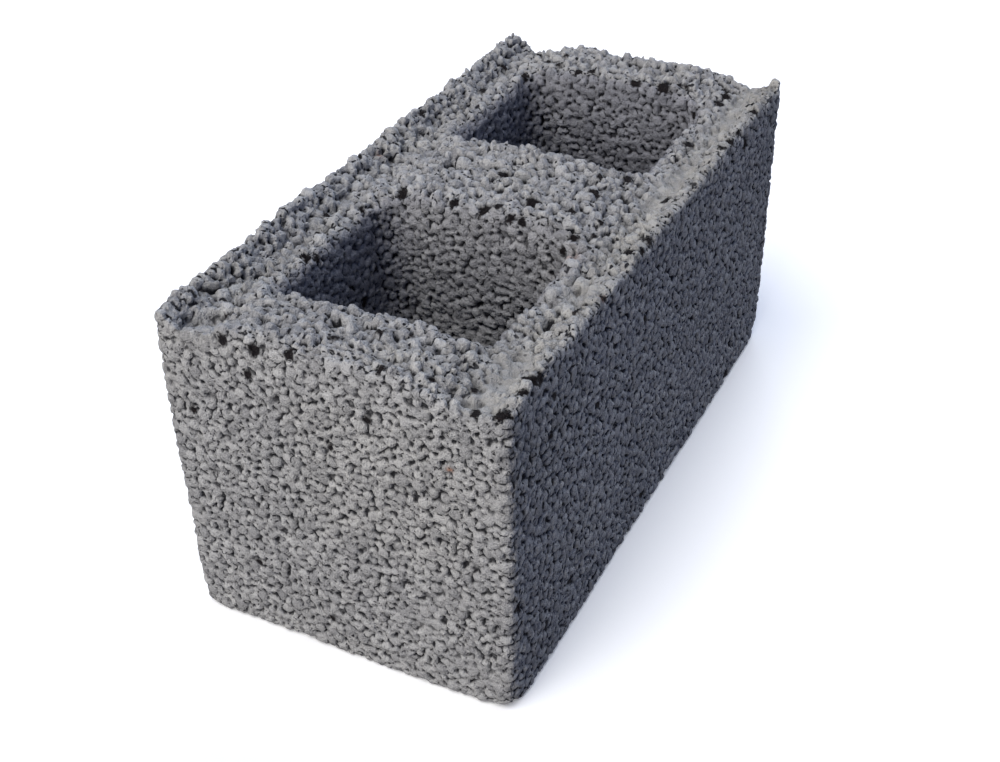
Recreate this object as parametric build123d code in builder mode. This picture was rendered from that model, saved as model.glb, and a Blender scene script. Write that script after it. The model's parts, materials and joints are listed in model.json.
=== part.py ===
# Hollow block of lightweight aggregate concrete, cast standing up in one piece.
# Sizes are millimetres. X runs along the length, Y across the thickness, Z is up.
# The underside was the smooth bed of the mould and the top is the open, rough side.
import os

from build123d import *

os.makedirs("parts", exist_ok=True)

# Whole block, with HEIGHT taken to the crest of the front lip, the one at -Y
LENGTH = 390.0
THICKNESS = 190.0
HEIGHT = 188.0

# Relief of the open side: lip, groove and crown. The back lip stands higher than the front one
LIP_WIDTH = 6.0
BACK_LIP_RISE = 2.6
GROOVE_INSET = 18.0
FRONT_GROOVE_DEPTH = 7.0
BACK_GROOVE_DEPTH = 6.0
SHOULDER_INSET = 46.0
SHOULDER_RISE = 2.5
CROWN_RISE = 4.5
LIP_BEND = 8.0
GROOVE_BEND = 10.0
SHOULDER_BEND = 40.0

# Walls around the two cells, measured at the open side
END_WEB = 45.0
MIDDLE_WEB = 80.0
SHELL = 36.0

# Corners of a cell, and how many degrees its walls lean in toward the bed
CELL_CORNER = 14.0
CORE_TAPER = 1.8

# Rounding of the worn edges
RIM_ROUND = 8.0
END_ROUND = 9.0
END_LIFT = 0.3
CORNER_ROUND = 4.0
BED_ROUND = 3.0
LIP_ROUND = 2.5

half_length = LENGTH / 2
half_thickness = THICKNESS / 2
top = HEIGHT + CROWN_RISE
lip_y = half_thickness - LIP_WIDTH
back_lip_z = HEIGHT + BACK_LIP_RISE
groove_y = half_thickness - GROOVE_INSET
front_groove_z = HEIGHT - FRONT_GROOVE_DEPTH
back_groove_z = HEIGHT - BACK_GROOVE_DEPTH
shoulder_y = half_thickness - SHOULDER_INSET
shoulder_z = HEIGHT + SHOULDER_RISE
cell_length = (LENGTH - 2 * END_WEB - MIDDLE_WEB) / 2
cell_width = THICKNESS - 2 * SHELL
cell_x = (MIDDLE_WEB + cell_length) / 2

# Mould core that leaves a cell, drawn at the open side and narrower toward the bed
with BuildPart() as core:
    with BuildSketch(Plane(origin=(0, 0, top + 1), z_dir=(0, 0, -1))):
        RectangleRounded(cell_length, cell_width, CELL_CORNER)
    extrude(amount=top + 1, taper=CORE_TAPER)

with BuildPart() as concrete_block:
    # Cross section with lips, grooves and crown, drawn out along the length
    with BuildSketch(Plane.YZ.offset(-half_length)) as section:
        with BuildLine():
            ThreePointArc((-shoulder_y, shoulder_z), (0, top), (shoulder_y, shoulder_z))
            Polyline(
                (shoulder_y, shoulder_z),
                (groove_y, back_groove_z),
                (lip_y, back_lip_z),
                (half_thickness, back_lip_z),
                (half_thickness, 0),
                (-half_thickness, 0),
                (-half_thickness, HEIGHT),
                (-lip_y, HEIGHT),
                (-groove_y, front_groove_z),
                (-shoulder_y, shoulder_z),
            )
        make_face()
        for at, bend in (
            (shoulder_y, SHOULDER_BEND),
            (groove_y, GROOVE_BEND),
            (lip_y, LIP_BEND),
        ):
            turns = section.vertices().filter_by(lambda v: abs(abs(v.X) - at) < 0.01)
            fillet(turns, bend)
    extrude(amount=LENGTH)
    # Upright corners
    fillet(concrete_block.edges().filter_by(Axis.Z), CORNER_ROUND)
    # Crown rolled over toward each end face
    with BuildSketch(Plane.XZ.offset(-groove_y)):
        for side in (-1, 1):
            face_x = side * half_length
            inner_x = side * (half_length - END_ROUND)
            outer_x = side * (half_length + 1)
            arc_top = top + END_LIFT
            with BuildLine():
                RadiusArc((inner_x, arc_top), (face_x, arc_top - END_ROUND), side * END_ROUND)
                Polyline(
                    (face_x, arc_top - END_ROUND),
                    (outer_x, arc_top - END_ROUND),
                    (outer_x, arc_top),
                    (inner_x, arc_top),
                )
            make_face()
    extrude(amount=2 * groove_y, mode=Mode.SUBTRACT)
    # Two cells, each the print of one core
    for side in (-1, 1):
        with Locations((side * cell_x, 0, 0)):
            add(core.part, mode=Mode.SUBTRACT)
    # Rims of the cells, rounded over onto webs and shells
    rims = concrete_block.edges().filter_by(
        lambda e: e.center().Z > front_groove_z
        and abs(e.center().Y) < cell_width / 2 + 1
        and abs(e.center().X) < half_length - END_WEB + 1
    )
    fillet(rims, RIM_ROUND)
    # Long top edges and the outer edges of the bed
    lips = concrete_block.edges().filter_by(Axis.X).filter_by(
        lambda e: abs(e.center().Y) > half_thickness - 0.1 and e.center().Z > HEIGHT - 0.1
    )
    fillet(lips, LIP_ROUND)
    bed = concrete_block.faces().sort_by(Axis.Z)[0].outer_wire().edges()
    fillet(bed, BED_ROUND)

concrete_block.part.label = "concrete_block"
export_step(concrete_block.part, "parts/concrete_block.step")
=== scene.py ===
# %% [markdown]
# # A hollow block of expanded clay concrete
# The real block is small fired clay pellets, each wrapped in grey cement paste, shaken and pressed in a
# steel mould. It comes out at once, so every face shows the pellets it was pressed from. The solid from the
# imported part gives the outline, and this script grows the pellets on it.

import json
import math

import bpy
import numpy as np
from mathutils import Matrix, Vector
from mathutils.kdtree import KDTree

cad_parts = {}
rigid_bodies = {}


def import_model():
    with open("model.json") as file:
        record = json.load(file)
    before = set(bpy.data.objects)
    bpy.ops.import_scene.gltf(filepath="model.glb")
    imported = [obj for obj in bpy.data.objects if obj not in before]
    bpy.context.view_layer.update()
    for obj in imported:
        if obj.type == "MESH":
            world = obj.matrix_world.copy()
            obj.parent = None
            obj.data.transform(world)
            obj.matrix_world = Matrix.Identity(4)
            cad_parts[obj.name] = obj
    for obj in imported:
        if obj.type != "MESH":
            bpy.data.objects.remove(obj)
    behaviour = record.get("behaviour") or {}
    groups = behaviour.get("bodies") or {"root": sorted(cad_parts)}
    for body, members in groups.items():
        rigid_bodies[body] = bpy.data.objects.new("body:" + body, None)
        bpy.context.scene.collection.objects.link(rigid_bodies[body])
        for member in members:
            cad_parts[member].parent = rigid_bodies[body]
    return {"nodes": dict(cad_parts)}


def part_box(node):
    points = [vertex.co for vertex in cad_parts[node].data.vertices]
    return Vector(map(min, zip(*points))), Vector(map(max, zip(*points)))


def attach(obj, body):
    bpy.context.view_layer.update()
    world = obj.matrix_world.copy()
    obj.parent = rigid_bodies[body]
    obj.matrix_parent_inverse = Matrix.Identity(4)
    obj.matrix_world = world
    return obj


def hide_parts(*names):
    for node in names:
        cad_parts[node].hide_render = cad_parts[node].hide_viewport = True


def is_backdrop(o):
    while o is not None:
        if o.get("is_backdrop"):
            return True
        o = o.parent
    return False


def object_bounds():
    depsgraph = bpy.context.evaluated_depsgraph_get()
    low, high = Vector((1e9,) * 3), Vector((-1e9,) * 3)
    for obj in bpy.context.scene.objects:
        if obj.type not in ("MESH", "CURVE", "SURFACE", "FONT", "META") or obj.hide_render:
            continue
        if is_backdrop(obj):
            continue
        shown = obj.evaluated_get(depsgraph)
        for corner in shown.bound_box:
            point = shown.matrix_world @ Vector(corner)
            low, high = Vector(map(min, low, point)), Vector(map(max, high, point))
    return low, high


for leftover in list(bpy.data.objects):
    bpy.data.objects.remove(leftover)
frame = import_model()
cad_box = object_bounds()
MM = 0.001
block_low, block_high = (np.array(corner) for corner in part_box("concrete_block"))
# how far the ends and the long sides are from the middle of the block, in millimetres
END, SIDE = (round(float(reach), 1) for reach in block_high[:2] / MM)
# the height of the front lip above the bed
LIP = 188
print("block, mm:", np.round((block_high - block_low) / MM, 1))

# %% [markdown]
# ## The camera
# The photograph looks down on one short end and one long side. Seven corners of the block were matched to a
# lens and a place to stand, and the camera was then moved a little to fit the block's outline, so the camera
# is set by numbers. It could also be aimed by hand with a Track To constraint, but a measured camera lets a
# render and the photograph be laid over each other.

# %% Camera at the photograph's angle
EYE = Vector((-0.6121, -0.3057, 0.5335))
AZIMUTH, ELEVATION, ROLL = (math.radians(angle) for angle in (-152.782, 35.05, -1.14))
back = Vector((
    math.cos(ELEVATION) * math.cos(AZIMUTH),
    math.cos(ELEVATION) * math.sin(AZIMUTH),
    math.sin(ELEVATION),
))
level = Vector((0, 0, 1)).cross(back).normalized()
upright = back.cross(level)
right = math.cos(ROLL) * level + math.sin(ROLL) * upright
above = math.cos(ROLL) * upright - math.sin(ROLL) * level
camera_data = bpy.data.cameras.new("camera")
camera_data.sensor_width = 36
camera_data.lens = 49.34
camera = bpy.data.objects.new("camera", camera_data)
bpy.context.scene.collection.objects.link(camera)
camera.matrix_world = Matrix.Translation(EYE) @ Matrix((right, above, back)).transposed().to_4x4()
bpy.context.scene.camera = camera
print("camera at", [round(v, 3) for v in EYE], "with a lens of", camera_data.lens, "mm")

# %% [markdown]
# ## An even skin
# Pellets of a few millimetres need a mesh with points about one millimetre apart. Subdividing the solid's
# own triangles would give slivers, because they are long and thin on flat faces. A voxel remesh lays a new
# grid of near square faces over the whole block, so the pellets can be raised by moving points.

# %% Remesh a copy of the block
SKIN_STEP = 1.05 * MM
copied = bpy.data.objects.new("copied_block", frame["nodes"]["concrete_block"].data.copy())
bpy.context.scene.collection.objects.link(copied)
remesh = copied.modifiers.new("even_grid", "REMESH")
remesh.mode = "VOXEL"
remesh.voxel_size = SKIN_STEP
remesh.adaptivity = 0
grid = bpy.data.meshes.new_from_object(copied.evaluated_get(bpy.context.evaluated_depsgraph_get()))
bpy.data.objects.remove(copied)


def read_all(collection, name, kind, width):
    """All values of one property of a mesh, as an array with a row for each element."""
    values = np.empty(len(collection) * width, kind)
    collection.foreach_get(name, values)
    return values.reshape(-1, width) if width > 1 else values


base = read_all(grid.vertices, "co", np.float32, 3).astype(np.float64) / MM
edges = read_all(grid.edges, "vertices", np.int32, 2)
faces = read_all(grid.loops, "vertex_index", np.int32, 1).reshape(-1, 4)
points = len(base)
print("skin:", points, "points and", len(faces), "faces, corners of each:", len(grid.loops) / len(faces))

# %% [markdown]
# ## Helpers for work on the whole skin
# The skin is kept as arrays of points in millimetres. Softening replaces each point's value by the mean of
# its neighbours, and lumps are smooth random hills that are the same in every run, because their seed is
# given.

# %% Soften values over the skin
neighbours = np.bincount(edges.ravel(), minlength=points).astype(float)


def soften(values, rounds):
    """Spreads values over the skin, one ring of neighbours for each round."""
    values = values.reshape(points, -1).copy()
    for _ in range(rounds):
        for column in range(values.shape[1]):
            one = values[:, column]
            spread = np.bincount(edges[:, 0], one[edges[:, 1]], points)
            spread += np.bincount(edges[:, 1], one[edges[:, 0]], points)
            values[:, column] = (one + spread) / (1 + neighbours)
    return values if values.shape[1] > 1 else values[:, 0]


print("neighbours of a point, on average:", round(float(neighbours.mean()), 2))

# %% Lumps, easing and fading
# how many random heights there are, a power of two, and primes that pick one for each corner of a grid
HEIGHTS = 4096
PRIMES = np.array((73856093, 19349663, 83492791))


def lumps(places, size, seed):
    """Smooth random hills between -1 and 1, about size wide."""
    heights = np.random.default_rng(seed).uniform(-1, 1, HEIGHTS)
    cell = np.floor(places / size).astype(np.int64)
    part = places / size - cell
    part = part * part * (3 - 2 * part)
    total = np.zeros(len(places))
    for corner in np.ndindex(2, 2, 2):
        key = np.bitwise_xor.reduce((cell + corner) * PRIMES, axis=1)
        share = np.abs(1 - np.array(corner) - part)
        total += share[:, 0] * share[:, 1] * share[:, 2] * heights[(key ^ (key >> 13)) & (HEIGHTS - 1)]
    return total


def hills(places, rows):
    """Lumps of several sizes added up. Each row has their height, width and seed."""
    return sum(high * lumps(places, wide, seed) for high, wide, seed in rows)


def ease(low, high, value):
    """Goes smoothly from 0 at low to 1 at high."""
    t = np.clip((value - low) / (high - low), 0, 1)
    return t * t * (3 - 2 * t)


def fade(squared, spread):
    """1 where a squared distance is 0, and nearly 0 three times spread away."""
    return np.exp(-squared / (2 * spread**2))


def around(place, spread):
    """1 at one place on the skin, fading over spread millimetres."""
    return fade(np.sum((base - np.array(place)) ** 2, 1), spread)


print("lumps 10 mm wide reach", round(float(lumps(base, 10, 1).max()), 2))

# %% Normals of the skin
def find_normals(places):
    """The direction out of the skin at each point."""
    a, b, c, d = (places[faces[:, k]] for k in range(4))
    across = np.cross(c - a, d - b)
    total = np.stack(
        [sum(np.bincount(faces[:, k], across[:, axis], points) for k in range(4)) for axis in range(3)], 1
    )
    return total / np.maximum(np.linalg.norm(total, axis=1, keepdims=True), 1e-9)


flat_normals = find_normals(base)
print("normals point out:", float(np.mean(flat_normals[base[:, 2] > LIP, 2])) > 0)

# %% [markdown]
# ## The faces of the block
# A mould leaves two kinds of surface. Sides, bed and cells were pressed on steel and are level, while the
# open side was struck off and is coarse. Each face of the skin gets the name of the side it lies on, from
# the direction it looks in, and the cells are told apart by their place.

# %% Name the sides
SIDES = ["left_end", "right_end", "front", "back", "bed", "open_side", "left_cell", "right_cell"]
BED, LEFT_CELL, RIGHT_CELL = (SIDES.index(name) for name in ("bed", "left_cell", "right_cell"))
# the middle of a cell along the block, and how far a face may be from it to be one of its walls
CELL_MIDDLE = 95.0
CELL_REACH = (58.0, 62.0)
soft_normals = soften(flat_normals, 6)
face_middle = base[faces].mean(1)
face_normal = soft_normals[faces].mean(1)
# in the order of the first six sides: how much a face looks to -X, +X, -Y, +Y, down and up
looks = np.stack([sign * face_normal[:, axis] for axis in range(3) for sign in (-1, 1)], 1)
side_of_face = looks.argmax(1)
from_cell = np.abs(face_middle[:, :2]) - (CELL_MIDDLE, 0)
in_cell = (np.abs(from_cell) < CELL_REACH).all(1) & (side_of_face < BED)
side_of_face[in_cell & (face_middle[:, 0] < 0)] = LEFT_CELL
side_of_face[in_cell & (face_middle[:, 0] > 0)] = RIGHT_CELL
in_cells = np.zeros(points)
in_cells[faces[side_of_face >= LEFT_CELL].ravel()] = 1
for number, name in enumerate(SIDES):
    print(name, "has", 2 * int((side_of_face == number).sum()), "triangles")

# %% [markdown]
# ## Knocks and pits
# The real block has worn corners, a few edges that stand out, and spots on the open side where pellets fell
# out. These are larger than a pellet, so they come first, as smooth pushes that fade with distance. A
# boolean cut would leave edges too crisp for crumbled concrete.

# %% Push corners and pits
KNOCKS = [
    # place, push and spread in millimetres
    ((-END, -SIDE, 0), (2.4, 2.2, 2.0), 8),
    ((-END, SIDE, 0), (1.0, -1.2, 1.2), 7),
    ((END, -SIDE, 0), (-1.6, 1.4, 1.2), 8),
    ((END, SIDE, 0), (-1.8, -1.8, 1.4), 8),
    ((-END, -SIDE, LIP), (0.6, 0.6, -1.2), 6),
    ((-END, 78, 186), (0, 0, 1.6), 5),
    ((-END, 20, 0), (0.3, 0, 0.8), 10),
    ((-END, SIDE, 115), (-0.7, 0.5, 0), 40),
    ((END, -89, LIP), (0, 0, 1.8), 5),
]
PITS = [
    # place, depth and radius of each spot where pellets fell out, in millimetres
    ((-95, -62), 7.0, 4.4), ((-103, -67), 4.5, 3.0), ((-72, -62), 5.0, 3.2), ((-147, -63), 4.5, 2.6),
    ((-139, -65), 4.5, 2.2), ((-173, -66), 3.5, 2.6), ((-187, -72), 2.5, 2.0), ((-51, -60), 4.0, 2.2),
    ((-36, 56), 4.5, 2.8), ((-17, -56), 3.0, 2.0), ((-186, 81), 6.0, 4.4), ((-180, 72), 4.5, 3.4),
    ((14, -41), 4.0, 2.4), ((-157, -79), 3.5, 2.6),
]
# pits are only in the open side, above this height
PITS_FROM = 165
skin = base.copy()
for place, depth, radius in PITS:
    across = np.linalg.norm(base[:, :2] - np.array(place), axis=1)
    skin[:, 2] -= depth * fade((across / radius) ** 2, 1) * (base[:, 2] > PITS_FROM)
for place, push, spread in KNOCKS:
    skin += around(place, spread)[:, None] * np.array(push)
print(len(KNOCKS), "knocks and", len(PITS), "pits")

# %% [markdown]
# ## Lumps and wandering faces
# The open side was struck off by hand, so it has low hills and crevices, a higher far corner and a dip in
# the far crown. The pressed faces only wander by a fraction of a millimetre. A displace modifier could do
# either on the whole block, but here each side needs its own amount, so the lumps are weighed by how open a
# face is.

# %% Lumps and wandering faces
# 1 on the open side and 0 on what the mould pressed
openness = ease(0.3, 0.8, soften(flat_normals, 10)[:, 2])
x, y, z = base.T
on_top = ease(150, 186, z) * openness
FAR_LIP_RISE, FAR_DIP, CREVICE = 1.0, 1.6, 2.6
far_lip = ease(84, 92, y) * ease(150, 190, x)
far_dip = fade((y - 2) ** 2, 9) * ease(168, 186, x)
crevice = ease(0.22, 0.0, np.abs(lumps(base, 10, 8))) * ease(-0.2, 0.3, lumps(base, 24, 9))
skin[:, 2] += on_top * (FAR_LIP_RISE * far_lip - FAR_DIP * far_dip - CREVICE * crevice)
# height, width and seed
STRUCK_OFF = [(1.0, 34, 3), (1.4, 15, 4), (1.5, 8, 7)]
PRESSED = [(0.35, 40, 5), (0.25, 14, 6)]
skin[:, 2] += on_top * hills(base, STRUCK_OFF)
# pressed pellets lie deeper than the skin, and this brings their tops back out to the solid's faces
LIFT = 0.55
wander = (1 - openness) * hills(base, PRESSED) + LIFT
normals = soften(find_normals(skin), 34)
normals /= np.linalg.norm(normals, axis=1, keepdims=True)
skin += normals * wander[:, None]
print("points moved by up to", round(float(np.linalg.norm(skin - base, axis=1).max()), 1), "mm")

# %% [markdown]
# ## Packing the pellets
# On the real block the pellets are 2 to 9 mm across, the large ones scattered and the small ones in the
# gaps. A particle system could strew them, but it lets them overlap at random. Here they are set one at a
# time, the large ones first, and each keeps the next ones about as far away as their two radii reach, as
# grains do.

# %% Broken pellets
BARE_CLAY = [
    # place and radius of each broken pellet that shows its dark clay, in millimetres
    ((-END, 54.6, 184), 3.0), ((-END, 35.8, 183.5), 3.6), ((-194.4, 17.6, 186), 2.8),
    ((-END, 41.6, 167.8), 2.6), ((-END, 78.5, 137.4), 2.0), ((-191, -77.3, 182.8), 2.6),
    ((-194.6, -92.4, 186.3), 3.2), ((-166.5, -92.8, 188), 3.0), ((-176.6, -68.9, 184.5), 2.0),
    ((-178.2, 2.9, 192.5), 2.4), ((-191.7, -29.1, 190.8), 2.1), ((-37.4, 48.1, 188.7), 3.0),
    ((-53.8, 62.9, 184), 2.0), ((-67.9, 76.7, 182.8), 2.4), ((-83.5, 71.1, 183.8), 2.0),
    ((-111.3, 61.9, 183.4), 2.8), ((-37.9, 15.3, 190), 2.6), ((1.4, 4.6, 192.5), 3.4),
    ((-21.1, -23.9, 192), 4.2), ((-39, -18.4, 188.6), 2.3), ((-38.9, -25.4, 188.4), 2.5),
    ((-23.3, -45.6, 190.7), 3.2), ((3.4, -49.1, 190.2), 3.3), ((23.7, -44.5, 190.9), 2.5),
    ((31.6, -57, 188.1), 2.8), ((-40, -56.6, 186.7), 2.3), ((-29.7, -63.5, 186.1), 2.0),
    ((-41.8, -50.7, 177.2), 2.6), ((-89.9, -93.8, 187.7), 2.1), ((-45.3, -89.6, 187.9), 2.7),
    ((-40.3, -93.1, 187.9), 2.3), ((-29.3, -92.5, 188), 2.7), ((153.8, -30.5, 190.7), 3.9),
    ((160.7, -45.9, 190.7), 3.0), ((154.5, 26.8, 191.2), 2.6), ((155.9, 19.1, 192), 2.6),
    ((166.9, 55.4, 188.6), 2.7), ((160.3, 43.7, 190.9), 2.6), ((95.9, -69.6, 184.2), 3.0),
    ((145.7, -54.4, 177.5), 2.6), ((116.3, 76.4, 182.7), 3.1), ((153.7, 81.4, 184.2), 2.7),
    ((145, 61.7, 185.3), 2.6), ((169, -67.9, 184.7), 3.1), ((157.3, -68, 184.7), 2.6),
    ((158.6, -85, 186), 3.1), ((145.6, -92.3, 188), 2.5), ((113.2, -93, 187.9), 2.4),
    ((100.4, -91.8, 188), 2.4),
]
print(len(BARE_CLAY), "broken pellets")

# %% Set the pellets
rng = np.random.default_rng(11)
tree = KDTree(points)
for number, place in enumerate(skin):
    tree.insert(place, number)
tree.balance()

GRAINS = [
    # smallest and largest radius, how many places are tried, how closely they may sit
    (3.1, 4.3, 6500, 0.80),
    (2.2, 3.0, 50000, 0.76),
    (1.5, 2.1, points, 0.76),
    (1.0, 1.4, points, 0.80),
]
# just over the largest radius, so that every point that a pellet could crowd is found
SEARCH = 4.4
free = np.ones((len(GRAINS), points), bool)
centres, radii, bare, near_points, near_grain = [], [], [], [], []


def set_grain(number, radius, is_bare):
    """Puts a pellet under one point of the skin and closes the room it takes to later ones."""
    found = tree.find_range(skin[number], radius + SEARCH)
    at = np.fromiter((one[1] for one in found), np.int64, len(found))
    away = np.fromiter((one[2] for one in found), float, len(found))
    for kind, (small, large, _, closeness) in enumerate(GRAINS):
        free[kind, at[away < closeness * (radius + (small + large) / 2)]] = False
    reached = at[away < 1.3 * radius + 0.8]
    near_points.append(reached)
    near_grain.append(np.full(len(reached), len(radii)))
    centres.append(number)
    radii.append(radius)
    bare.append(is_bare)


# the break is a little smaller than the pellet that it is in
for place, radius in BARE_CLAY:
    set_grain(tree.find(place)[1], 1.2 * radius, 1.0)
for kind, (small, large, tries, _) in enumerate(GRAINS):
    for number in rng.permutation(points)[:tries]:
        if free[kind, number]:
            set_grain(number, rng.uniform(small, large), 0.0)
    print("pellets of", small, "to", large, "mm radius: now", len(radii), "in all")

# %% [markdown]
# ## How far each pellet stands out
# The mould's steel pressed the pellets of its own faces nearly level, while on the open side they stand
# proud or lie deep. A few have fallen out, and a few more are broken. One random height for all would give
# every face the same roughness, so the ranges are set for each kind of face.

# %% Seat the pellets
centres = np.array(centres)
radii = np.array(radii)
bare = np.array(bare)
near_points = np.concatenate(near_points)
near_grain = np.concatenate(near_grain)
grains = len(radii)
open_here = openness[centres]
cell_here = in_cells[centres]
chance = rng.uniform(0, 1, (grains, 3))
# the deepest a pellet lies below the face and the range above that, in millimetres
SUNK, SUNK_RANGE = -0.75, 1.05
PROUD, PROUD_RANGE = -2.1, 3.3
sunk = SUNK + SUNK_RANGE * chance[:, 0] ** 0.7
proud = PROUD + PROUD_RANGE * chance[:, 0]
sunk *= 1 - 0.35 * cell_here
stands = sunk * (1 - open_here) + proud * open_here
# small ones lie a little deeper, between the large ones
stands -= np.clip(2.2 - radii, 0, 1.4) * 0.6
lost = (chance[:, 2] < 0.07 + 0.14 * open_here) & (radii < 2.1 + 0.7 * open_here)
stands[lost] -= 2.4 + 1.6 * open_here[lost]
stands[bare > 0] = 0.2
stray = (chance[:, 1] < 0.006 + 0.012 * open_here) & (radii > 1.9)
bare[stray] = 1.0
jitter = rng.normal(0, 0.3, (grains, 3))
middle = skin[centres] + jitter - normals[centres] * (radii - stands)[:, None]
print(grains, "pellets,", int(lost.sum()), "fallen out and", int(bare.sum()), "broken")

# %% [markdown]
# ## Raising the skin over the pellets
# Seen from outside, the surface is the top of whichever pellet stands highest. Each point of the skin looks
# along its normal for the pellets around it and goes up to the highest. No pellet is a true ball, so the
# places that are compared are warped a little. Balls joined as metaballs would give such a skin too, but
# far too slowly for this many.

# %% Height over each pellet
# width, amount and first seed of the warp, in millimetres
WARPS = [(3.1, 0.5, 21), (1.7, 0.22, 31)]
warp = sum(
    np.stack([lumps(skin, wide, seed + axis) for axis in range(3)], 1) * amount for wide, amount, seed in WARPS
)
warp *= 1 + 0.7 * openness[:, None]
# where no pellet is near, the skin may fall this far
FLOOR = -6.0
crumble = 0.7 * lumps(skin, 1.9, 63)
# 1 is a round cap, and more is flatter on top with steeper flanks, as the mould's steel leaves it
bluntness = 2.3 - 0.9 * openness


def rise_over_grains(places):
    """Height over each pellet of each point near it, and how steeply it changes to the side."""
    to_middle = middle[near_grain] - (places + warp)[near_points]
    facing = normals[near_points]
    along = np.einsum("ij,ij->i", to_middle, facing)
    aside = to_middle - along[:, None] * facing
    off_axis = np.einsum("ij,ij->i", aside, aside)
    radius = radii[near_grain]
    share = np.minimum(off_axis / radius**2, 1)
    blunt = bluntness[near_points]
    fall = np.sqrt(1 - share**blunt)
    half = radius * fall
    rise = np.where(share < 1, along + half, FLOOR)
    # a bare pellet has lost its cap, so its top is a shallow dish
    dish = stands[near_grain] - 0.3 * radius - 0.7 * (1 - share) + crumble[near_points]
    rise = np.where((bare[near_grain] > 0) & (share < 1), np.minimum(rise, dish), rise)
    slope = aside * (blunt * share ** (blunt - 1) / np.maximum(half, 0.3))[:, None]
    return rise, slope


def two_highest(rise):
    """For each point, the pairs that hold its highest and its second highest pellet."""
    order = np.lexsort((rise, near_points))
    last = np.flatnonzero(np.append(np.diff(near_points[order]) > 0, True))
    first, second = np.full(points, -1), np.full(points, -1)
    at = near_points[order[last]]
    first[at] = order[last]
    before = np.maximum(last - 1, 0)
    paired = near_points[order[before]] == at
    second[at[paired & (last > 0)]] = order[before[paired & (last > 0)]]
    return first, second


print(len(near_points), "pairs of a pellet and a point near it")

# %% [markdown]
# ## Creases between pellets
# The gap between two pellets is a crease far narrower than the mesh. Left alone, it falls between two
# points and is washed out. So the points next to a crease slide along the skin until they lie on it, from
# one side only, and the crease then runs along the edges of the mesh.

# %% Slide points onto the creases
# how far a point may slide, and how deep the lower of two pellets may lie for its crease to be in sight
REACH = 0.8
IN_SIGHT = -2.5
slid = skin.copy()
for turn in range(2):
    rise, slope = rise_over_grains(slid)
    first, second = two_highest(rise)
    both = (first >= 0) & (second >= 0)
    both[both] = (rise[second[both]] > IN_SIGHT) & (near_grain[first[both]] > near_grain[second[both]])
    gap = rise[first[both]] - rise[second[both]]
    steep = slope[first[both]] - slope[second[both]]
    amount = gap / np.maximum(np.einsum("ij,ij->i", steep, steep), 1e-6)
    step = -steep * amount[:, None]
    step[np.linalg.norm(step, axis=1) > REACH] = 0
    slid[np.flatnonzero(both)] += step
    print("turn", turn + 1, "moved", int(step.any(1).sum()), "points onto a crease")

# %% [markdown]
# ## Height of every point
# The highest pellet gives each point its height. The plain highest would leave knife cuts between pellets,
# so the heights are blended over about a tenth of a millimetre, as paste bridges them. Where no pellet
# comes near the surface, a floor of paste shows instead, so no gap is bottomless.

# %% Height of every point
rise, slope = rise_over_grains(slid)
first, second = two_highest(rise)
highest = np.where(first >= 0, rise[first], FLOOR)
next_best = np.where(second >= 0, rise[second], FLOOR)
# the paste between pellets lies lower and is rougher on the open side, with deeper holes here and there
deep = ease(0.35, 0.6, lumps(base, 5.5, 51)) * (1 - 0.3 * openness)
paste_floor = -2.7 - 1.1 * openness + (0.5 + 0.9 * openness) * lumps(base, 3.3, 52) - 1.6 * deep
bridge = 0.08 + 0.05 * openness
height = np.logaddexp(highest / bridge, paste_floor / bridge) * bridge
height += bridge * np.log1p(np.exp((next_best - highest) / bridge))
# which pellet a point lies on, with -1 for paste, and how close it is to the next one
owner = np.where((first >= 0) & (highest > paste_floor), near_grain[first], -1)
to_next = np.abs(highest - np.maximum(next_best, paste_floor))
on_crease = ease(0.0, 1.0, 1 - to_next / (0.45 + 0.2 * openness))
print("the skin stands between", round(float(height.min()), 2), "and", round(float(height.max()), 2), "mm")

# %% [markdown]
# ## Smears, sand and the mould's face
# The mould cuts off whatever would stand through it. Where a tool wiped the wet paste, in the front groove
# and at one corner, the pellets are buried under a smear with long scratches. Sand grains finer than a
# pellet sit all over. Sculpting could do this too, but small changes to the height are the same in every
# run.

# %% Finish the heights
# how far the mould's face lies outside the skin, and over what height it flattens a pellet
MOULD = 0.12
FLATTENING = 0.12
pressed = MOULD - FLATTENING * np.logaddexp(0, (MOULD - height) / FLATTENING)
height = height * openness + pressed * (1 - openness)

# the middle of the front groove, and the corner that was wiped too
GROOVE_Y = -78
WIPED_CORNER = (-187, 70, 185)
smear = on_top * fade((y - GROOVE_Y) ** 2, 7) * ease(0.05, 0.5, lumps(base, 26, 41) + 0.25)
smear = np.maximum(smear, around(WIPED_CORNER, 9))
smear = np.maximum(smear, 0.35 * ease(0.5, 0.8, lumps(base, 22, 42)) * (1 - openness))
# lumps that are drawn out along the block look like the scratches of a tool
SCRATCHES = (0.3, 1, 1)
along = base * SCRATCHES
wiped = soften(height, 7) + 0.25
wiped += 0.35 * lumps(along, 1.7, 46) - 1.6 * ease(0.45, 0.6, lumps(along, 2.3, 47))
WIPE = 0.85
height = height * (1 - WIPE * smear) + wiped * WIPE * smear
height += (0.22 + 0.38 * openness) * lumps(skin, 1.25, 43) + (0.15 + 0.35 * openness) * lumps(skin, 2.3, 44)
done = slid + normals * height[:, None]
done[:, 2] = np.maximum(done[:, 2], 0)
print("finished skin, mm:", np.round(done.min(0), 1), np.round(done.max(0), 1))

# %% [markdown]
# ## What the material needs to know
# Colour follows the same things as shape: every pellet has its own tone, gaps and creases get painted shade
# that is darker the deeper they lie, broken pellets show clay, wiped paste is smoother, the cells get painted
# shade, and dust and a few rust spots have their places. They are kept as values on the points, so the
# material reads them on any side and in any view.

# %% Tone, painted gap shade and clay
grain_tone = rng.uniform(0, 1, grains + 1)[owner]
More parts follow.
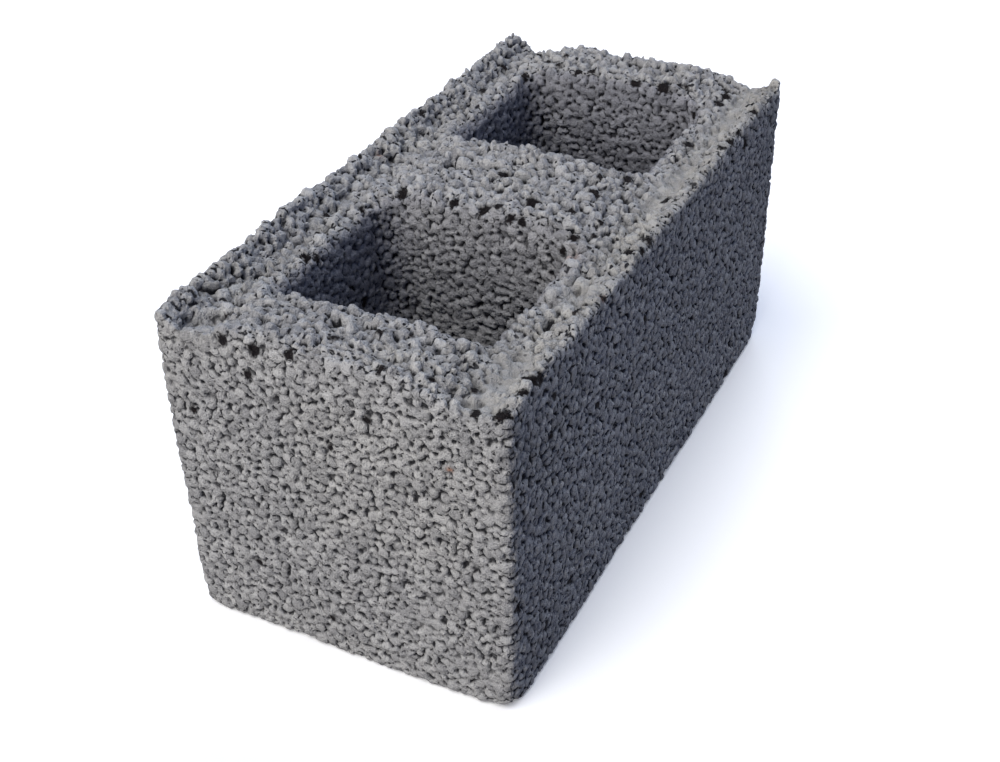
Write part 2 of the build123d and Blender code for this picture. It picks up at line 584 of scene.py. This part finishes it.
# clay shows inside the ragged edge of a broken pellet. Its place is measured in the pellet's own radii
reach = np.append(radii, 1)
from_centre = np.linalg.norm(np.cross(slid + warp - middle[owner], normals), axis=1) / reach[owner]
from_centre += 0.22 * lumps(skin, 1.9, 48)
clay = bare[owner] * (1 - ease(0.72, 0.98, from_centre)) * (owner >= 0)
# the long sides get stronger painted shade in their creases and gaps
long_side = ease(0.5, 0.9, np.abs(soft_normals[:, 1])) * (1 - in_cells)
# painted shade along the creases between pellets, stronger on the open side and weaker in the cells
crease = on_crease * ease(-0.3, 0.6, soften(height, 4) - height + 0.35)
crease *= 1 + 0.4 * long_side + 0.55 * openness - 0.15 * in_cells
# painted shade: the deeper a point lies below its neighbours, the darker it is painted
depth = np.clip((soften(height, 8) - height + 1.0) / (3.0 + 0.9 * openness), 0, 1)
depth = np.clip(depth * (1 + 0.25 * long_side - 0.1 * in_cells), 0, 1)
print("clay shows at", int((clay > 0.5).sum()), "points and creases at", int((crease > 0.5).sum()))

# %% Painted cell shade, dust and rust
# painted shade inside the cells, strongest in the far cell and on the wall on the shaded side
damp = soften(in_cells, 8) * (0.48 + 0.52 * ease(-5, 5, x) + 0.4 * ease(30, 56, y))
# dust lies on the front lip and in patches
dusty = on_top * (0.75 * ease(-66, -76, y) + 0.5 * ease(0.1, 0.6, lumps(base, 30, 61)))
dusty += 0.3 * ease(0.0, 0.7, lumps(base, 50, 62)) * (1 - openness) * (1 - in_cells)
RUST = [
    # place and size of each spot, in millimetres
    ((-53, -59, 184), 3.2), ((-89.9, -93.8, 187.7), 1.4), ((3, 85, 189), 1.6), ((-END, -65, 147.8), 1.0),
]
rust = np.max([around(spot, size) for spot, size in RUST], axis=0)
values = {
    "grain_tone": grain_tone,
    "depth": depth,
    "crease": crease,
    "clay": clay,
    "smear": smear,
    "damp": damp,
    "dusty": dusty,
    "rust": rust,
}
for name, value in values.items():
    print(name, "runs from", round(float(value.min()), 2), "to", round(float(value.max()), 2))

# %% [markdown]
# ## One piece for each side
# The whole skin has nearly a million triangles, so it is cut along the block's edges into eight pieces that
# meet point to point. Their normals are taken from the whole skin, so no cut shows. Splitting by hand in
# edit mode gives the same pieces, but would have to be done again after every change.

# %% Cut the faces into triangles
a, b, c, d = faces.T
# the cut across each face runs along the slope, not always the same way, or the skin would look combed
along_a = (np.abs(height[a] - height[c]) < np.abs(height[b] - height[d]))[:, None]
triangles = np.concatenate([
    np.where(along_a, np.stack([a, b, c], 1), np.stack([a, b, d], 1)),
    np.where(along_a, np.stack([a, c, d], 1), np.stack([b, c, d], 1)),
])
side_of_triangle = np.concatenate([side_of_face, side_of_face])
print(len(triangles), "triangles")

# %% [markdown]
# ## A flat map for each side
# A finish can be painted onto a picture only if each point of a piece has a place on it. Smart UV Project
# would find places too, with many seams. The sides of a block are flat already, so each is laid on the
# picture as it is seen from outside, and the walls of a cell are unrolled like a label.

# %% Flat maps
# half the width of a cell along and across the block, and the length of its wall all the way around
HALF_CELL = (52.0, 56.0)
CELL_WALL = 420
MARGIN = 0.005


def around_cell(places):
    """How far along the cell's wall each place is, from 0 to 1."""
    across = (places[:, 0] - np.sign(places[:, 0]) * CELL_MIDDLE) / HALF_CELL[0]
    along = places[:, 1] / HALF_CELL[1]
    return np.arctan2(along, across) / (2 * math.pi) + 0.5


def flat_map(name, corners):
    """Places on the picture for the corners of one piece's faces."""
    places = base[corners.ravel()]
    if name.endswith("cell"):
        turn = around_cell(places).reshape(-1, 3)
        # a face across the seam has its early corners moved on by a whole turn
        turn += (turn.max(1, keepdims=True) - turn > 0.5) & (turn < 0.5)
        across, upward = turn.ravel() * CELL_WALL, places[:, 2]
    elif name.endswith("end"):
        across, upward = places[:, 1], places[:, 2]
    elif name in ("front", "back"):
        across, upward = places[:, 0], places[:, 2]
    else:
        across, upward = places[:, 0], places[:, 1]
    flat = np.stack([across - across.min(), upward - upward.min()], 1)
    return (MARGIN + (1 - 2 * MARGIN) * flat / flat.max()).astype(np.float32)


print("the picture keeps a margin of", MARGIN)

# %% Make the pieces
final_normals = find_normals(done)


def make_piece(name, number):
    """One side of the block as its own mesh object."""
    mine = triangles[side_of_triangle == number]
    used, corners = np.unique(mine, return_inverse=True)
    corners = corners.reshape(-1, 3)
    mesh = bpy.data.meshes.new(name)
    mesh.vertices.add(len(used))
    mesh.vertices.foreach_set("co", (done[used] * MM).astype(np.float32).ravel())
    mesh.loops.add(corners.size)
    mesh.loops.foreach_set("vertex_index", corners.astype(np.int32).ravel())
    mesh.polygons.add(len(corners))
    mesh.polygons.foreach_set("loop_start", np.arange(0, corners.size, 3, dtype=np.int32))
    mesh.polygons.foreach_set("use_smooth", np.ones(len(corners), bool))
    mesh.update(calc_edges=True)
    for label, value in values.items():
        mesh.attributes.new(label, "FLOAT", "POINT").data.foreach_set("value", value[used].astype(np.float32))
    mesh.uv_layers.new(name="OFBake").data.foreach_set("uv", flat_map(name, mine).ravel())
    mesh.normals_split_custom_set_from_vertices(final_normals[used].astype(np.float32))
    piece = bpy.data.objects.new("block_" + name, mesh)
    bpy.context.scene.collection.objects.link(piece)
    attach(piece, "root")
    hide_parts("concrete_block")
    return piece


pieces = {name: make_piece(name, number) for number, name in enumerate(SIDES)}
print("pieces:", {name: len(piece.data.polygons) for name, piece in pieces.items()})

# %% [markdown]
# ## Writing a material
# A material is a small graph of nodes, which is slow to read as code when every node and link has its own
# line. This class wraps a socket so that values can be added and multiplied like numbers, and its node
# method makes any other node with its settings and inputs.

# %% A wrapper for sockets
class Wire:
    """The output of a node, ready to be used in sums and as the input of other nodes."""

    def __init__(self, tree, socket=None):
        self.tree = tree
        self.socket = socket

    def node(self, kind, settings=None, inputs=None, output=0):
        """Makes one node. Settings come first, then the values or wires of its inputs."""
        made = self.tree.nodes.new("ShaderNode" + kind)
        for name, value in (settings or {}).items():
            setattr(made, name, value)
        for name, value in (inputs or {}).items():
            if isinstance(value, Wire):
                self.tree.links.new(value.socket, made.inputs[name])
            else:
                made.inputs[name].default_value = value
        return Wire(self.tree, made.outputs[output] if made.outputs else None)

    def maths(self, operation, first, second):
        """A Math node on two values."""
        return self.node("Math", {"operation": operation}, {0: first, 1: second})

    def __add__(self, other):
        return self.maths("ADD", self, other)

    __radd__ = __add__

    def __sub__(self, other):
        return self.maths("SUBTRACT", self, other)

    def __rsub__(self, other):
        return self.maths("SUBTRACT", other, self)

    def __mul__(self, other):
        return self.maths("MULTIPLY", self, other)

    __rmul__ = __mul__

    def most(self, other):
        """The larger of two values."""
        return self.maths("MAXIMUM", self, other)

    def least(self, other):
        """The smaller of two values."""
        return self.maths("MINIMUM", self, other)

    def mix(self, factor, first, second, way="MIX"):
        """Two colours mixed by a factor, or blended in the way that is named."""
        settings = {"data_type": "RGBA", "blend_type": way}
        return self.node("Mix", settings, {0: factor, 6: first, 7: second}, output=2)


def new_material(name):
    """An empty material, and a wire that starts its graph."""
    material = bpy.data.materials.new(name)
    material.use_nodes = True
    material.node_tree.nodes.clear()
    return material, Wire(material.node_tree)


print("wires can be added, subtracted and multiplied")

# %% [markdown]
# ## Cement paste and clay
# The paste is a mid grey, a little warmer where dust lies, with painted shade inside the cells. It could be
# one noise texture, but the real colour sits on the pellets: each has its own tone, the gaps between them
# are painted nearly black as shade, and broken pellets are nearly black too, down in their clay. Sand finer
# than the mesh is left to bump.

# %% Colours of the concrete
PASTE_DARK = (0.17, 0.17, 0.175, 1)
PASTE_PALE = (0.47, 0.465, 0.455, 1)
# the near black of painted shade in gaps, creases, pores and deep holes
GAP_SHADE = (0.018, 0.018, 0.021, 1)
CLAY = (0.006, 0.005, 0.006, 1)
CLAY_EDGE = (0.028, 0.021, 0.021, 1)
WIPED = (0.33, 0.325, 0.315, 1)
DUST = (1.0, 0.985, 0.94, 1)
# a bluish painted shade that darkens the cells
CELL_SHADE_COLOUR = (0.66, 0.67, 0.73, 1)
RUSTY = (0.36, 0.14, 0.055, 1)
print("pale paste is", round(PASTE_PALE[1] / GAP_SHADE[1]), "times as bright as a gap")

# %% Values and noises for the concrete
concrete, wire = new_material("expanded_clay_concrete")
on_block = wire.node("TexCoord", output=3)


def on_points(name):
    """A value that is kept on the points of the skin."""
    return wire.node("Attribute", {"attribute_name": name}, output=2)


def noise(size, detail=2.0):
    """Noise with hills about size millimetres wide."""
    inputs = {"Vector": on_block, "Scale": 1 / (size * MM), "Detail": detail, "Roughness": 0.6}
    return wire.node("TexNoise", None, inputs)


def cells(size, feature):
    """Cells about size millimetres across, by the distance from their middle or from their edge."""
    return wire.node("TexVoronoi", {"feature": feature}, {"Vector": on_block, "Scale": 1 / (size * MM)})


def between(value, low, high):
    """The value from low to high, spread over 0 to 1."""
    return wire.node("MapRange", {"interpolation_type": "SMOOTHSTEP"}, {0: value, 1: low, 2: high})


cloud = noise(60, 3.0)
fine = noise(0.7)
speck = noise(3.2)
sand = cells(1.15, "F1")
crumb = cells(2.1, "DISTANCE_TO_EDGE")
depth_shade = on_points("depth")
print("noises and values:", len(concrete.node_tree.nodes), "nodes so far")

# %% Colour of paste, painted gap shade and clay
# deeper points get darker paste, as painted shade
tone = on_points("grain_tone") * 0.33 + cloud * 0.3 + fine * 0.75 - depth_shade * 0.4 - 0.07
paste = wire.mix(between(tone, 0.0, 1.0), PASTE_DARK, PASTE_PALE)
paste = wire.mix(on_points("smear") * 0.4, paste, WIPED)
paste = wire.mix(on_points("dusty"), paste, DUST, "MULTIPLY")
# painted shade inside the cells
paste = wire.mix(on_points("damp"), paste, CELL_SHADE_COLOUR, "MULTIPLY")
paste = wire.mix(on_points("rust") * 0.8, paste, RUSTY)
# pores, cracks, creases and deep holes are painted with the near black of shade
pore_shade = between(sand, 0.6, 0.85) * between(speck, 0.4, 0.6)
crack_shade = (1 - between(crumb, 0.0, 0.10)) * between(speck, 0.52, 0.66)
painted_crease_shade = between(on_points("crease") + speck * 0.5, 0.62, 1.12)
hole_shade = between(depth_shade + speck * 0.3, 0.46, 0.92)
gap_shade = (pore_shade * 0.3).most(crack_shade * 0.3).most(painted_crease_shade).most(hole_shade) * (1 - on_points("smear") * 0.6)
paste = wire.mix(gap_shade * 0.97, paste, GAP_SHADE)
broken = wire.mix(between(fine, 0.5, 0.75), CLAY, CLAY_EDGE)
colour = wire.mix(on_points("clay"), paste, broken)
print("with colour:", len(concrete.node_tree.nodes), "nodes")

# %% Bump and the finished concrete
BUMP = 1.2 * MM
ROUGH, SHEEN = 0.93, 0.12
relief = fine * 0.55 - sand * 0.45 - gap_shade * 0.8 + on_points("clay") * (speck * 1.6 - 1.2)
bump = wire.node("Bump", None, {"Strength": 1.0, "Distance": BUMP, "Height": relief})
finish = {"Base Color": colour, "Roughness": ROUGH, "Specular IOR Level": SHEEN, "Normal": bump}
wire.node("OutputMaterial", None, {"Surface": wire.node("BsdfPrincipled", None, finish)})
for piece in pieces.values():
    piece.data.materials.append(concrete)
frame["nodes"]["concrete_block"].data.materials.clear()
frame["nodes"]["concrete_block"].data.materials.append(concrete)
print("the concrete has", len(concrete.node_tree.nodes), "nodes")

# %% [markdown]
# ## Floor and surroundings
# A product picture is shot on a pale sweep. The floor is nearly white to the camera, with a faint glow that
# only the camera sees, but it gives less light back to the block, because a white floor would brighten the
# shaded side more than the photograph shows. The block's shadow still falls on it.

# %% Pale floor
# how far the floor reaches from the block, and how far it lies below the bed, so that the two don't touch
FLOOR_REACH = 4
FLOOR_GAP = 0.4 * MM
FLOOR_DARK, FLOOR_PALE = (0.15, 0.15, 0.16, 1), (0.98, 0.98, 0.98, 1)
NO_GLOW, GLOW = (0, 0, 0, 1), (0.13, 0.13, 0.12, 1)
floor_mesh = bpy.data.meshes.new("floor")
floor_corners = [(FLOOR_REACH * i, FLOOR_REACH * j, 0) for i, j in ((-1, -1), (1, -1), (1, 1), (-1, 1))]
floor_mesh.from_pydata(floor_corners, [], [(0, 1, 2, 3)])
floor = bpy.data.objects.new("floor", floor_mesh)
floor.location.z = -FLOOR_GAP
bpy.context.scene.collection.objects.link(floor)


def seen_directly(start):
    """1 for rays from the camera, a mirror or glass, and 0 for the light between things."""
    rays = ("Is Camera Ray", "Is Glossy Ray", "Is Transmission Ray")
    camera_ray, glossy_ray, clear_ray = (start.node("LightPath", output=ray) for ray in rays)
    return (camera_ray + glossy_ray + clear_ray).least(1.0)


floor_paint, wire_floor = new_material("pale_floor")
floor_finish = {
    "Base Color": wire_floor.mix(seen_directly(wire_floor), FLOOR_DARK, FLOOR_PALE),
    "Roughness": 0.9,
    "Emission Color": wire_floor.mix(seen_directly(wire_floor), NO_GLOW, GLOW),
    "Emission Strength": 1.0,
}
wire_floor.node("OutputMaterial", None, {"Surface": wire_floor.node("BsdfPrincipled", None, floor_finish)})
floor_mesh.materials.append(floor_paint)
floor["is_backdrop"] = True
print("the floor is", 2 * FLOOR_REACH, "m wide")

# %% White surroundings
# the light that the sky gives, while the camera sees white
FILL = (0.095, 0.135, 0.285, 1)
WHITE = (1, 1, 1, 1)
world = bpy.data.worlds.new("surroundings")
world.use_nodes = True
world.node_tree.nodes.clear()
bpy.context.scene.world = world
sky = Wire(world.node_tree)
sky_colour = sky.mix(seen_directly(sky), FILL, WHITE)
sky.node("OutputWorld", None, {"Surface": sky.node("Background", None, {"Color": sky_colour})})
print("the surroundings have", len(world.node_tree.nodes), "nodes")

# %% [markdown]
# ## Light
# In the photograph the near end and the top are lit, the long side is not, the walls inside the cells
# darken as they go down, and no shadow has a hard edge. Two broad lights do the same: a warm one low in
# front of the near end and one high above it. Area lamps could stand there too, but a sun lamp with a wide
# angle gives the soft light of a large panel far away with no panel to place. A cooler one from the other
# end keeps the back from going black.

# %% Broad soft lights
LIGHTS = {
    # azimuth and elevation of where the light comes from, how wide it is, its colour and how bright it is
    "near_end": (168, 8, 45, (1.0, 0.955, 0.89), 0.88),
    "open_sky": (165, 62, 40, (1.0, 0.975, 0.925), 0.70),
    "far_end": (0, 30, 60, (0.8, 0.88, 1.0), 0.68),
}
for name, (turn, climb, wide, tint, brightness) in LIGHTS.items():
    turn, climb = math.radians(turn), math.radians(climb)
    lamp_data = bpy.data.lights.new(name, "SUN")
    # a pale face that looks straight at a sun lamp of strength pi is seen at its own colour
    lamp_data.energy = brightness * math.pi
    lamp_data.angle = math.radians(wide)
    lamp_data.color = tint
    lamp = bpy.data.objects.new(name, lamp_data)
    level_part = math.cos(climb)
    toward = Vector((level_part * math.cos(turn), level_part * math.sin(turn), math.sin(climb)))
    lamp.rotation_euler = toward.to_track_quat("Z", "Y").to_euler()
    bpy.context.scene.collection.objects.link(lamp)
bpy.context.scene.view_settings.view_transform = "Standard"
print("lights:", list(LIGHTS))

# %% [markdown]
# ## The two boxes
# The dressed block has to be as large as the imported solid, apart from the pellets that stand out. Reading
# the box of both from the scene keeps the two sizes side by side, where a drawing would only say what was
# meant.

# %% Keep the two boxes and finish
sizes = {"cad": [list(corner) for corner in cad_box], "visual": [list(corner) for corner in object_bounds()]}
for name, corners in sizes.items():
    print(name, "box, mm:", [[round(v / MM, 1) for v in corner] for corner in corners])
